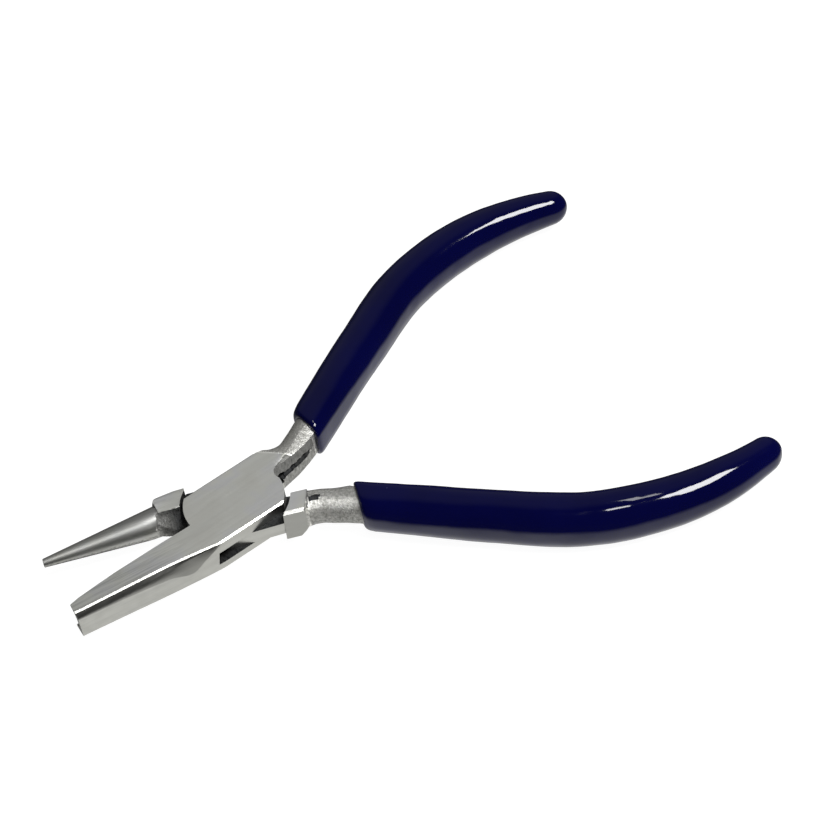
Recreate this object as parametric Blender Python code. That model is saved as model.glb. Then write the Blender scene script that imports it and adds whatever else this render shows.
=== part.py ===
"""Round/hollow forming pliers with a box joint and dipped grips.

Every length below is in millimetres; meshes are made in metres, +Z up.
Each half is drawn closed: pivot at the origin, jaws towards -X, handles towards +X,
and z = 0 on the mid-plane. It is then turned about the pivot to stand open.
The origin of the whole tool is the middle of the pivot pin's lower end.
"""

import math

import bmesh
import bpy
import numpy as np
from mathutils import Vector

MM = 0.001

# Joint
HALF_OPENING = math.radians(11.6)      # each half is turned this far from closed
THICKNESS = 6.4                        # over the ground flats of the box
MID = THICKNESS / 2
BOX_HALF_WIDTH = 6.9
LONG_EDGE_BEVEL = 0.5
CHEEK_END_RADIUS = 9.15                # free ends of the cheeks, about the pivot
SLOT_RADIUS = 10.8                     # ends of the slot, about the pivot
SLOT_HALF_HEIGHT = 1.4
WEB_RADIUS = 10.4
WEB_HALF_HEIGHT = 1.25
WEB_HALF_WIDTH = 6.85
PIN_RADIUS = 1.8
CHEEK_BORE_RADIUS = 1.85
WEB_BORE_RADIUS = 1.9

# The box between its jaw and its tang
BLOCK_FRONT_X = -9.9
BLOCK_REAR_X = 10.8
BLOCK_INNER_FRONT_Y = 0.45             # where the free ends of the cheeks stop
BLOCK_INNER_REAR_Y = 1.1
INSET = 0.02                           # keeps a blended piece just inside the flats

# Concave jaw: x, inner y, outer y, outer corner radius, half height
JAW_STATIONS = [
    (-7.9, 0.3, -6.88, 0.5, 3.18), (-10.4, 0.45, -6.6, 0.6, 3.18),
    (-13.0, 0.6, -6.05, 0.9, 3.18), (-20.0, 0.85, -4.85, 1.3, 3.15),
    (-28.0, 0.9, -3.6, 1.45, 3.05), (-35.3, 0.4, -2.45, 1.45, 2.95),
]
JAW_LIP_RADIUS = 0.1
HOLLOW_ROOT = (-9.0, 0.5, 2.9)         # x, y and radius of the hollow's axis at its root
HOLLOW_TIP = (-36.0, 1.05, 2.5)

# Cone jaw, and the collar behind it with its inner side hollowed to a keel
CONE_ROOT = (-13.0, 3.08, 3.05)        # x, y and radius of the cone at its root
CONE_TIP = (-35.5, 0.83, 0.8)
COLLAR_FRONT_X = -13.8
COLLAR_REAR_X = -8.0
COLLAR_BACK_RADIUS = 9.8
COLLAR_UPPER_PROFILE = [               # y and z from the outer side round to the keel
    (6.1, 2.7), (5.6, 3.2), (2.0, 3.2), (1.5, 2.3), (0.7, 1.6), (-0.4, 1.2), (-1.3, 0.8),
]

# Bolster and tangs
BOLSTER_RADIUS = 10.2                  # front shoulder, about the pivot
BOLSTER_SPAN = [(6.0, -6.75), (12.8, -7.1)]
BOLSTER_REAR_X = 11.8
BOLSTER_INNER_REAR_Y = -2.35
TANG_HALF_HEIGHTS = [3.18, 3.18, 3.16, 3.15, 3.15]
TANG_OUTER_RADII = [0.5, 0.6, 2.5, 2.8, 2.8]
TANG_INNER_RADIUS = 0.35
BOX_TANG_INNER = [(9.6, 0.95), (11.0, 1.2), (12.6, 1.45), (14.6, 1.75), (17.6, 2.55)]
BOX_TANG_OUTER = [(9.6, 6.86), (10.9, 6.88), (12.3, 6.6), (14.0, 6.75), (16.4, 7.8)]
LAP_TANG_INNER = [(10.4, 2.1), (11.4, 2.2), (13.0, 2.3), (15.0, 2.5), (17.8, 3.1)]
LAP_TANG_OUTER = [(9.6, 6.9), (11.2, 6.95), (12.4, 6.9), (14.0, 7.1), (16.4, 8.3)]

# Handles and their dipped grips
HANDLE_LINE = [(20.4, 6.75), (41.0, 17.4), (57.0, 24.7), (71.0, 26.6), (91.0, 22.15)]
HANDLE_HALF_WIDTHS = [3.9, 4.45, 4.55, 4.4, 3.15]
HANDLE_STATIONS = 18
SQUARING_STATIONS = 4                  # over which the sections turn from the rim's plane
GRIP_RISE = 1.12                       # section height over section width
GRIP_WALL = 1.1
GRIP_GAP = 0.15                        # between the steel and the inside of its grip
RIM_CORNER = 0.5                       # inner corner radius over half width, at the rim
INNER_CORNER = 0.95                    # the same, once square to the handle
OUTER_CORNER = 0.98
CAP_LENGTH = 2.6
CAP_ANGLES = (35, 65, 85)

# Smoothness of the curves
ROUND_STEPS = 40                       # sides of the pin and its bores
CONE_STEPS = 32
SLOT_STEPS = 72
CORNER_STEPS = 6


def clear_scene():
    for item in list(bpy.data.objects):
        bpy.data.objects.remove(item)


def material(name, colour, roughness, metallic):
    made = bpy.data.materials.new(name)
    made.use_nodes = True
    shader = made.node_tree.nodes["Principled BSDF"]
    shader.inputs["Base Color"].default_value = (*colour, 1.0)
    shader.inputs["Roughness"].default_value = roughness
    shader.inputs["Metallic"].default_value = metallic
    return made


def finish_mesh(name, bm):
    """Turns a bmesh drawn in millimetres into an object in metres."""
    bmesh.ops.recalc_face_normals(bm, faces=bm.faces)
    bmesh.ops.scale(bm, vec=(MM, MM, MM), verts=bm.verts)
    mesh = bpy.data.meshes.new(name)
    bm.to_mesh(mesh)
    bm.free()
    made = bpy.data.objects.new(name, mesh)
    bpy.context.scene.collection.objects.link(made)
    return made


def loft(name, rings):
    """A closed skin through rings that all have the same number of points."""
    bm = bmesh.new()
    rows = [[bm.verts.new(point) for point in ring] for ring in rings]
    for low, high in zip(rows, rows[1:]):
        for i in range(len(low)):
            j = (i + 1) % len(low)
            bm.faces.new((low[i], low[j], high[j], high[i]))
    bm.faces.new(rows[0])
    bm.faces.new(rows[-1])
    return finish_mesh(name, bm)


def prism(name, outline, half_height):
    """A flat plan outline made solid from -half_height to half_height."""
    rings = [[(x, y, z) for x, y in outline] for z in (-half_height, half_height)]
    return loft(name, rings)


def turned(name, start, end, steps):
    """A frustum between two (x, y, radius) stations in the mid-plane."""
    axis = Vector((end[0] - start[0], end[1] - start[1], 0)).normalized()
    side = Vector((-axis.y, axis.x, 0))
    rings = []
    for x, y, radius in (start, end):
        ring = []
        for i in range(steps):
            angle = 2 * math.pi * i / steps
            offset = side * (radius * math.cos(angle))
            ring.append((x + offset.x, y + offset.y, radius * math.sin(angle)))
        rings.append(ring)
    return loft(name, rings)


def bar(name, stations, high_y):
    """A bevelled bar along X; each station is (x, low y), and high_y is shared."""
    drop = MID - LONG_EDGE_BEVEL
    rings = []
    for x, low_y in stations:
        low_top = low_y + LONG_EDGE_BEVEL
        high_top = high_y - LONG_EDGE_BEVEL
        profile = [
            (low_top, MID), (low_y, drop), (low_y, -drop), (low_top, -MID),
            (high_top, -MID), (high_y, -drop), (high_y, drop), (high_top, MID),
        ]
        rings.append([(x, y, z) for y, z in profile])
    return loft(name, rings)


def upright(name, radius, half_height, steps=ROUND_STEPS):
    return prism(name, arc(radius, 0, 360 * (steps - 1) / steps, steps), half_height)


def arc(radius, start, end, steps):
    """Points on a circle about the pivot, angles in degrees."""
    angles = np.radians(np.linspace(start, end, steps))
    return [(radius * math.cos(a), radius * math.sin(a)) for a in angles]


def combine(target, tool, operation):
    """Applies one Boolean and drops the tool."""
    modifier = target.modifiers.new(operation, "BOOLEAN")
    modifier.operation = operation
    modifier.solver = "EXACT"
    modifier.object = tool
    graph = bpy.context.evaluated_depsgraph_get()
    joined = bpy.data.meshes.new_from_object(target.evaluated_get(graph))
    target.modifiers.clear()
    target.data = joined
    bpy.data.objects.remove(tool)
    return target


def section(inner, outer, height, inner_radius, outer_radius):
    """A rounded rectangle standing on the plan line from inner to outer.

    The two corners at the inner end and the two at the outer end have their own radii.
    """
    inner = Vector((*inner, 0))
    outer = Vector((*outer, 0))
    width = (outer - inner).length
    across = (outer - inner).normalized()
    corners = (
        (width - outer_radius, height - outer_radius, outer_radius, 0),
        (inner_radius, height - inner_radius, inner_radius, 90),
        (inner_radius, inner_radius - height, inner_radius, 180),
        (width - outer_radius, outer_radius - height, outer_radius, 270),
    )
    ring = []
    for along, up, radius, start in corners:
        for step in range(CORNER_STEPS):
            angle = math.radians(start + 90 * step / (CORNER_STEPS - 1))
            reach = along + radius * math.cos(angle)
            rise = up + radius * math.sin(angle)
            ring.append(tuple(inner + across * reach + Vector((0, 0, rise))))
    return ring


def smooth_line(points, count):
    """Evenly spaced points on a cubic Hermite curve through the given points."""
    knots = np.array(points, float)
    reach = np.r_[0, np.cumsum(np.linalg.norm(np.diff(knots[:, :2], axis=0), axis=1))]
    slopes = np.gradient(knots, reach, axis=0, edge_order=2)
    made = []
    for s in np.linspace(0, reach[-1], count):
        i = min(int(np.searchsorted(reach, s, side="right")) - 1, len(reach) - 2)
        span = reach[i + 1] - reach[i]
        t = (s - reach[i]) / span
        made.append(
            (2 * t**3 - 3 * t**2 + 1) * knots[i]
            + (t**3 - 2 * t**2 + t) * span * slopes[i]
            + (3 * t**2 - 2 * t**3) * knots[i + 1]
            + (t**3 - t**2) * span * slopes[i + 1]
        )
    return np.array(made)


def handle_rings(side, inset):
    """Sections of a grip, made smaller all round by inset; side is 1 or -1.

    The rim is the level line of the dip, so the first section lies across the tool's own
    axis, and the next ones turn until they are square to the handle.
    """
    knots = [(*point, width) for point, width in zip(HANDLE_LINE, HANDLE_HALF_WIDTHS)]
    line = smooth_line(knots, HANDLE_STATIONS)
    heading = np.gradient(line[:, :2], axis=0)
    rings = []
    for i, ((x, y, width), (dx, dy)) in enumerate(zip(line, heading)):
        square = min(i / SQUARING_STATIONS, 1)
        lean = math.atan2(dy, dx)
        turn = lean * square * square * (3 - 2 * square)
        across = (-math.sin(turn), math.cos(turn))
        reach = (width - inset) / math.cos(lean - turn)
        inner = (x - across[0] * reach, side * (y - across[1] * reach))
        outer = (x + across[0] * reach, side * (y + across[1] * reach))
        height = width * GRIP_RISE - inset
        inner_radius = (width - inset) * (RIM_CORNER + (INNER_CORNER - RIM_CORNER) * square)
        outer_radius = (width - inset) * OUTER_CORNER
        rings.append(section(inner, outer, height, inner_radius, outer_radius))
    return rings


def round_off(rings, length):
    """Adds shrinking sections beyond the last one, as a rounded end."""
    last = np.array(rings[-1])
    centre = last.mean(axis=0)
    step = centre - np.array(rings[-2]).mean(axis=0)
    forward = step / np.linalg.norm(step)
    capped = list(rings)
    for angle in CAP_ANGLES:
        shrink = math.cos(math.radians(angle))
        push = forward * length * math.sin(math.radians(angle))
        capped.append([tuple(centre + (point - centre) * shrink + push) for point in last])
    return capped


def tang_rings(side, inner_edge, outer_edge):
    """Sections from the box or bolster back to the grip's rim, then on inside the grip."""
    shape = zip(inner_edge, outer_edge, TANG_HALF_HEIGHTS, TANG_OUTER_RADII)
    rings = []
    for (inner_x, inner_y), (outer_x, outer_y), height, radius in shape:
        inner = (inner_x, side * inner_y)
        outer = (outer_x, side * outer_y)
        rings.append(section(inner, outer, height, TANG_INNER_RADIUS, radius))
    hidden = handle_rings(side, GRIP_WALL + GRIP_GAP)[:-1]
    return rings + round_off(hidden, CAP_LENGTH)


def box_block():
    """The flats of the box, ending in arcs so that the other half can swing past."""
    edge = BOX_HALF_WIDTH
    outline = arc(CHEEK_END_RADIUS, 130, 177, 9)
    outline += [(BLOCK_FRONT_X, BLOCK_INNER_FRONT_Y), (BLOCK_FRONT_X, -edge - 1)]
    outline += arc(CHEEK_END_RADIUS, -50, -3, 9)
    outline += [(9.4, 1.0), (BLOCK_REAR_X, BLOCK_INNER_REAR_Y), (BLOCK_REAR_X, edge + 1)]
    block = bar("box_half", [(BLOCK_FRONT_X - 1, -edge), (BLOCK_REAR_X + 1, -edge)], edge)
    return combine(block, prism("plan", outline, THICKNESS), "INTERSECT")


def concave_jaw():
    """The jaw of the box half, before its hollow is cut."""
    rings = []
    for x, inner, outer, radius, height in JAW_STATIONS:
        rings.append(section((x, inner), (x, outer), height, JAW_LIP_RADIUS, radius))
    return loft("jaw", rings)


def box_half():
    """Female half: concave jaw, two cheeks with the slot between them, upper tang."""
    half = box_block()
    combine(half, concave_jaw(), "UNION")
    combine(half, loft("tang", tang_rings(1, BOX_TANG_INNER, BOX_TANG_OUTER)), "UNION")
    combine(half, upright("slot", SLOT_RADIUS, SLOT_HALF_HEIGHT, SLOT_STEPS), "DIFFERENCE")
    combine(half, turned("hollow", HOLLOW_ROOT, HOLLOW_TIP, CONE_STEPS), "DIFFERENCE")
    return combine(half, upright("bore", CHEEK_BORE_RADIUS, THICKNESS), "DIFFERENCE")


def collar():
    """Block behind the cone: flat above and below, its inner side hollowed to a keel."""
    lower = [(y, -z) for y, z in reversed(COLLAR_UPPER_PROFILE)]
    profile = COLLAR_UPPER_PROFILE + lower
    rings = []
    for x in (COLLAR_FRONT_X, COLLAR_REAR_X):
        rings.append([(x, y, z) for y, z in profile])
    clearance = upright("clearance", COLLAR_BACK_RADIUS, THICKNESS, SLOT_STEPS)
    return combine(loft("collar", rings), clearance, "DIFFERENCE")


def web():
    """Thin middle of the lap half, which turns inside the slot."""
    side = math.degrees(math.asin(WEB_HALF_WIDTH / WEB_RADIUS))
    outline = arc(WEB_RADIUS, 180 - side, 180 + side, 19)
    outline += arc(WEB_RADIUS, -side, side, 19)
    return prism("lap_half", outline, WEB_HALF_HEIGHT)


def bolster():
    """Full height shoulder behind the box, with the lower tang."""
    outline = arc(BOLSTER_RADIUS, -50, -10.5, 9)
    outline += [(BOLSTER_REAR_X, BOLSTER_INNER_REAR_Y), (BOLSTER_REAR_X, -BOLSTER_RADIUS)]
    block = bar("bolster", BOLSTER_SPAN, 0.0)
    combine(block, prism("plan", outline, THICKNESS), "INTERSECT")
    tang = loft("tang", tang_rings(-1, LAP_TANG_INNER, LAP_TANG_OUTER))
    shoulder = upright("shoulder", BOLSTER_RADIUS, THICKNESS, SLOT_STEPS)
    combine(tang, shoulder, "DIFFERENCE")
    return combine(block, tang, "UNION")


def lap_half():
    """Male half: cone jaw with its collar, web through the slot, bolster, lower tang."""
    half = web()
    combine(half, collar(), "UNION")
    combine(half, turned("cone", CONE_ROOT, CONE_TIP, CONE_STEPS), "UNION")
    combine(half, bolster(), "UNION")
    return combine(half, upright("bore", WEB_BORE_RADIUS, THICKNESS), "DIFFERENCE")


def grip(name, side):
    """Dipped sleeve: outer skin, rounded end, and a blind pocket that fits the steel."""
    outside = round_off(handle_rings(side, 0), CAP_LENGTH + GRIP_WALL)
    pocket = round_off(handle_rings(side, GRIP_WALL)[:-1], CAP_LENGTH + GRIP_GAP)
    return loft(name, list(reversed(outside)) + pocket)


def place(half, turn):
    half.location = (0, 0, MID * MM)
    half.rotation_euler = (0, 0, turn)


def main():
    clear_scene()
    steel = material("ground_steel", (0.50, 0.50, 0.47), 0.32, 1.0)
    pin_steel = material("pin_steel", (0.55, 0.55, 0.53), 0.3, 1.0)
    vinyl = material("dipped_vinyl", (0.01, 0.012, 0.12), 0.15, 0.0)
    female = box_half()
    male = lap_half()
    pin = upright("pivot_pin", PIN_RADIUS, MID)
    female_grip = grip("box_half_grip", 1)
    male_grip = grip("lap_half_grip", -1)
    place(female, HALF_OPENING)
    place(male, -HALF_OPENING)
    place(pin, HALF_OPENING)
    female_grip.parent = female
    male_grip.parent = male
    for item, finish in ((female, steel), (male, steel), (pin, pin_steel),
                         (female_grip, vinyl), (male_grip, vinyl)):
        item.data.materials.clear()
        item.data.materials.append(finish)
        item.data.shade_smooth()
        item.data.set_sharp_from_angle(angle=math.radians(35))


main()
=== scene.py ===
"""Looks of the box-joint pliers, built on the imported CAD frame.

Lengths in the tables are millimetres in each half's own closed position: pivot at the
origin, jaws towards -X, handles towards +X, z = 0 on the mid-plane. Each half is then
turned about the pivot to where the frame has it, and lifted to the height of the box.
"""

import math

import bmesh
import bpy
import numpy as np
from mathutils import Matrix, Vector, noise


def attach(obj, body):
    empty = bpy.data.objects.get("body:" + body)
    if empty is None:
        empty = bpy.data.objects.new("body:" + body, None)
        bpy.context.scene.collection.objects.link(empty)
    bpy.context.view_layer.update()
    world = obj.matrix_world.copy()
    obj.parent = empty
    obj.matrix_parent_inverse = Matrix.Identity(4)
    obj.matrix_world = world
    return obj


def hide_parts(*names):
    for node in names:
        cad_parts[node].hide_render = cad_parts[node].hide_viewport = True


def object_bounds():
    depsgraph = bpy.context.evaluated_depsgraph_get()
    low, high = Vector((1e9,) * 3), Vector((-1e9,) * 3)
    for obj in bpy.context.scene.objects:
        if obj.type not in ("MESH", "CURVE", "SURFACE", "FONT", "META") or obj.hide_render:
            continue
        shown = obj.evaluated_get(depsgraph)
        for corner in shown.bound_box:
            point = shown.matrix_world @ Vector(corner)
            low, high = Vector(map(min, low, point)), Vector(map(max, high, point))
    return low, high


MM = 0.001

# Joint
OPENING = math.radians(11.6)             # how far each half stands open in the frame
MID = 3.2                                # half the thickness over the ground flats
EDGE = 6.9                               # half the width of the box
BEVEL = 0.31                             # width and height of the bevel along the flats
BEVEL_DROP = 0.23
THROUGH = 5.0                            # a cutter's half height, beyond both faces
CHEEK_RADIUS = 9.15
CHEEK_FRONT_ARC = (177, 129)             # degrees, at the root of the jaw
CHEEK_REAR_ARC = (-52, -13)              # and towards the tang
CHEEK_HEEL = [(9.0, -1.5), (8.86, -0.9), (8.9, -0.3), (9.1, 0.3), (9.3, 0.65)]
SLOT_RADIUS = 10.8
SLOT_FLARE = 0.4                         # how much wider the slot is at its lower face
SLOT_HALF_HEIGHT = 1.32
SLOT_LEVEL = -0.36                       # middle of the slot and of the web in it
WEB_RADIUS = 10.4
WEB_REAR_RADIUS = 8.9                    # on the side of the other half's tang
WEB_HALF_HEIGHT = 1.26
WEB_HALF_WIDTH = 6.85
PIN_RADIUS = 1.83                        # pressed into the box, loose in the web's bore
PIN_LEVELS = (-MID + 0.004, -MID + 0.02, MID - 0.02, MID - 0.004)
BORE_RADIUS = 1.9

# Concave jaw: x, near y; width and height of the dressed edge, height of its steep part and
# what share of the width is left below that; half height near and inner
JAW = [
    (-35.3, -2.42, 0.80, 1.50, 0.75, 0.15, 2.95, 2.75),
    (-28.0, -3.65, 0.88, 1.80, 0.85, 0.15, 3.05, 2.88),
    (-18.0, -5.40, 1.03, 2.60, 0.75, 0.25, 3.18, 3.10),
    (-13.9, -6.05, 0.88, 3.90, 0.50, 0.60, 3.20, 3.20),
    (-11.0, -6.50, 0.70, 2.30, 0.32, 0.60, 3.20, 3.20),
    (-9.0, -6.77, 0.54, 1.15, 0.18, 0.60, 3.20, 3.20),
    (-7.4, -EDGE, BEVEL, 0.50, 0.03, 0.50, 3.20, 3.20),
    (-6.5, -EDGE, BEVEL, 0.50, 0.03, 0.50, 3.20, 3.20),
]
JAW_INNER_EDGE = [
    (-36.5, 0.25), (-35.3, 0.3), (-34.5, 0.52), (-33.0, 0.76), (-29.0, 0.92), (-25.0, 1.0),
    (-20.0, 0.86), (-15.0, 0.68), (-12.0, 0.54), (-9.9, 0.45),
]
JAW_FAR_SIDE = ([-13, -10.2], [2.2, EDGE])             # x, y before the inside is cut away
JAW_STATIONS = ((-35.3, -14.5, 36), (-13.9, -7.4, 14), (-6.5, 9.0, 8))   # from, to, how many
TIP_SLANT = 0.75
TIP_LENGTH = 5.0                         # where the slant of the tip has run out
UNDER_EDGE = -1.6                        # end of the upper facets on the jaw's side
HOLLOW_ROOT = (-9.0, 0.5, 2.9)           # x, y, radius
HOLLOW_TIP = (-36.0, 1.05, 2.5)
HOLLOW_STEPS = 96

# Cone jaw and its collar
CONE_ROOT = (-13.0, 3.08, 3.05)          # x, y, radius
CONE_TIP = (-35.4, 0.84, 0.8)
CONE_END_RADII = {-35.4: 0.72, -35.34: 0.8}            # x: radius, the eased edge of its end
CONE_LARGEST_RADIUS = 3.12
CONE_AXIS_AT_COLLAR = 3.0
NECK = -14.15                            # where the round part of the cone stops
COLLAR_PROFILE = [                       # y, z from the outer side over the ridge to the keel
    (6.0, 0.0), (6.0, 2.5), (5.95, 2.8), (5.65, 3.12), (5.3, 3.2), (3.9, 3.2), (2.2, 3.2),
    (2.05, 3.05), (1.75, 2.5), (1.4, 2.05), (0.9, 1.68), (0.3, 1.4), (-0.2, 1.2),
    (-0.65, 1.0), (-0.95, 0.7), (-1.0, 0.0),
]
COLLAR_RIDGE = 6                         # the point of the profile where its inner side starts
COLLAR_DENSITY = 0.22
COLLAR_BACK_RADIUS = 9.8

# Bolster, tangs and handles
BOLSTER_RADIUS = 10.2
BOLSTER_ARC_END = -12.5                  # degrees
BOLSTER_REACH = 6.86                     # y of its side, at the joint and the upper face
BOLSTER_LEAN = 0.06                      # slopes of its side, downwards and to the rear
BOLSTER_TAPER = 0.06
BOLSTER_REAR = [(12.94, -2.42), (12.6, -3.5)]
BOLSTER_LEVELS = [                       # z, end of the side, how far the side stands back
    (-MID, 9.5, 0.45), (-MID + 0.4, 9.9, 0), (-1.9, 10.9, 0), (-1.0, 11.6, 0), (0.0, 11.95, 0),
    (1.0, 12.0, 0), (2.0, 11.8, 0), (MID - 0.4, 11.55, 0), (MID, 11.55, 0.56),
]
BOX_TANG_HEIGHTS = [MID, MID, MID, 3.17, 3.15]
BOX_TANG_CORNERS = [                     # width, height and flatness of the outer edge
    (BEVEL, BEVEL, 1), (0.7, 0.7, 0.8), (2.2, 2.2, 0), (3.0, 2.95, 0), (3.2, 3.0, 0),
]
BOX_TANG_NEAR_CORNERS = ((0.4, 0.06, 0.8), (2.3, 0.75, 0.8))   # inner edge, at both ends
LAP_TANG_CORNERS = [(2.4, 2.4, 0), (2.5, 2.6, 0), (2.7, 2.8, 0), (3.2, 2.95, 0), (3.4, 3.0, 0)]
LAP_TANG_NEAR_CORNERS = ((0.3, 0.3, 0), (1.5, 1.4, 0))
LAP_TANG_HEIGHTS = [3.12, 3.12, 3.12, 3.12, 3.1]
BOX_TANG_INNER = [(9.6, 0.95), (11.0, 1.2), (12.6, 1.45), (14.6, 1.75), (17.6, 2.55)]
BOX_TANG_OUTER = [(9.6, 6.9), (10.9, 6.9), (12.3, 6.6), (14.0, 6.75), (16.4, 7.8)]
LAP_TANG_INNER = [(10.4, 2.0), (11.4, 2.15), (13.0, 2.38), (15.0, 2.6), (17.8, 3.3)]
LAP_TANG_OUTER = [(9.6, 6.9), (11.2, 6.95), (12.4, 6.95), (14.0, 7.2), (16.4, 8.3)]
BOX_TANG_HEAD = (9.3, -EDGE, 9.3, EDGE, MID, BEVEL, BEVEL, 1)  # the box's own rear section
BOX_TANG_SPARE = 0.35                    # what rear_cutter takes off the inner side
TANG_SPREAD = 0.45                       # slope of a tang's inner edge inside its grip
OUTER_CORNER_LIMIT = 0.62                # most of a section's width that its corner may take
GROOVE_START = 9.6
GROOVE_LENGTH = 9.5
PIT = (13.75, -4.6, 3.1)
PIT_LENGTH = 1.7
HANDLE_LINE = [(20.4, 6.75), (41.0, 17.4), (57.0, 24.7), (71.0, 26.6), (91.0, 22.15)]
HANDLE_HALF_WIDTHS = [3.9, 4.45, 4.55, 4.4, 3.15]
SQUARING_LENGTH = 18.0                   # from the slanted lip to sections square to the line
GRIP_RISE = 1.12                         # half height of a grip over its half width
GRIP_INNER_ROUND = (0.72, 0.23)          # corner radius over half width at the lip, and its gain
GRIP_OUTER_ROUND = 0.98
GRIP_END = 3.7                           # length of the rounded end
GRIP_END_ANGLES = (12, 24, 35, 45, 54, 62, 69, 75, 80, 84, 87)
GRIP_WAVE_SIZE = 7.0
GRIP_RIPPLE = (0.04, 2.4)                # depth and size of the finer unevenness
LIP = [                                  # how far in and how far back the rolled lip goes
    (1.55, 0.5), (1.32, 0.12), (1.12, 0.0), (0.88, 0.0), (0.62, 0.07), (0.4, 0.23),
    (0.22, 0.47), (0.09, 0.82), (0.0, 1.4),
]
SKIN = 0.07                              # keeps the smoother skin inside the CAD's facets
STEEL_INSET = 1.2                        # thickness of the vinyl
BAR_ROUND = 0.95
BAR_END = 2.0

# Studio: azimuth and elevation in degrees, width and height in metres, power in watts
LIGHTS = {
    "key": (-48, 57, 0.33, 0.28, 7.0),
    "ceiling": (5, 79, 0.20, 0.10, 0.5),
    "side": (-100, 64, 0.13, 0.10, 0.75),
}
LIGHT_DISTANCE = 0.9
LIGHTS_AIM = (0.037, 0.005, 0.003)
FLOOR_SIZE = 1.5
FLOOR_GAP = 0.0001

# Camera: degrees and metres, its sensor and lens in millimetres
CAMERA_AZIMUTH = -18.21
CAMERA_ELEVATION = 44.52
CAMERA_ROLL = -11.21
CAMERA_DISTANCE = 0.493
CAMERA_TARGET = (0.03739, 0.0049, MID * MM)
SENSOR_WIDTH = 36
FOCAL_LENGTH = 118.1876

ROUND_STEPS = 72


# ---------------------------------------------------------------- meshes

def make_object(name, bm):
    bmesh.ops.recalc_face_normals(bm, faces=bm.faces)
    bmesh.ops.scale(bm, vec=(MM, MM, MM), verts=bm.verts)
    mesh = bpy.data.meshes.new(name)
    bm.to_mesh(mesh)
    bm.free()
    made = bpy.data.objects.new(name, mesh)
    bpy.context.scene.collection.objects.link(made)
    return made


def loft(name, rings):
    bm = bmesh.new()
    rows = [[bm.verts.new(point) for point in ring] for ring in rings]
    for low, high in zip(rows, rows[1:]):
        for i in range(len(low)):
            j = (i + 1) % len(low)
            bm.faces.new((low[i], low[j], high[j], high[i]))
    bm.faces.new(rows[0])
    bm.faces.new(rows[-1])
    return make_object(name, bm)


def prism(name, outline, low, high):
    return loft(name, [[(x, y, z) for x, y in outline] for z in (low, high)])


def arc(radius, start, end, steps):
    angles = np.radians(np.linspace(start, end, steps))
    return [(radius * math.cos(a), radius * math.sin(a)) for a in angles]


def circle(radius):
    return arc(radius, 0, 360 * (ROUND_STEPS - 1) / ROUND_STEPS, ROUND_STEPS)


def drum(name, radius):
    """A cutter round the pivot, through everything."""
    return prism(name, circle(radius), -THROUGH, THROUGH)


def disc(name, levels):
    """A round piece about the pivot; levels are (z, radius)."""
    outline = circle(1.0)
    return loft(name, [[(x * r, y * r, z) for x, y in outline] for z, r in levels])


def turned(name, stations, steps):
    """A turned piece along a line in the mid-plane; stations are (x, y, radius)."""
    start = Vector((*stations[0][:2], 0))
    end = Vector((*stations[-1][:2], 0))
    axis = (end - start).normalized()
    side = Vector((-axis.y, axis.x, 0))
    rings = []
    for x, y, radius in stations:
        ring = []
        for i in range(steps):
            angle = 2 * math.pi * i / steps
            offset = side * (radius * math.cos(angle))
            ring.append((x + offset.x, y + offset.y, radius * math.sin(angle)))
        rings.append(ring)
    return loft(name, rings)


def combine(target, tool, operation):
    modifier = target.modifiers.new(operation, "BOOLEAN")
    modifier.operation = operation
    modifier.solver = "EXACT"
    modifier.object = tool
    graph = bpy.context.evaluated_depsgraph_get()
    joined = bpy.data.meshes.new_from_object(target.evaluated_get(graph))
    target.modifiers.clear()
    target.data = joined
    bpy.data.objects.remove(tool)
    return target


def hermite(t, length, start, end, start_slope, end_slope):
    return ((2 * t**3 - 3 * t**2 + 1) * start + (t**3 - 2 * t**2 + t) * length * start_slope
            + (3 * t**2 - 2 * t**3) * end + (t**3 - t**2) * length * end_slope)


def monotone(xs, ys, at):
    """Smooth curve through the points that never overshoots, so that flats stay flat."""
    xs = np.array(xs, float)
    ys = np.array(ys, float)
    gap = np.diff(xs)[:, None]
    secant = np.diff(ys, axis=0) / gap
    slope = np.zeros_like(ys)
    slope[0], slope[-1] = secant[0], secant[-1]
    before, after = secant[:-1], secant[1:]
    same = before * after > 0
    total = np.where(same, before + after, 1)
    slope[1:-1] = np.where(same, 2 * before * after / total, 0)
    made = []
    for x in at:
        i = int(np.clip(np.searchsorted(xs, x, side="right") - 1, 0, len(gap) - 1))
        length = gap[i, 0]
        t = (x - xs[i]) / length
        made.append(hermite(t, length, ys[i], ys[i + 1], slope[i], slope[i + 1]))
    return np.array(made)


def corner_points(width, height, count, flat):
    """Points from (width, 0) to (0, height) inside a corner at (0, 0); flat=1 is a chamfer."""
    points = []
    for i in range(count):
        t = i / (count - 1)
        angle = t * math.pi / 2
        round_y = width * (1 - math.sin(angle))
        round_z = height * (1 - math.cos(angle))
        flat_y = width * (1 - t)
        flat_z = height * t
        points.append((round_y + (flat_y - round_y) * flat, round_z + (flat_z - round_z) * flat))
    return points


def dressed_points(width, height, steep, left):
    """A corner ground to a flat bevel, a steep facet and a long, almost upright one."""
    y0, z0 = width - BEVEL, BEVEL_DROP
    y1, z1 = y0 * left, z0 + steep
    points = [(width, 0.0), (width - BEVEL / 2, BEVEL_DROP / 2), (y0, z0)]
    points += [(y0 + (y1 - y0) * t, z0 + steep * t) for t in (0.4, 0.8)]
    for t in (0.3, 0.65, 0.96, 1.0):
        points.append((y1 * (1 - t) ** 1.12, z1 + (height - z1) * t))
    return points


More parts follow.
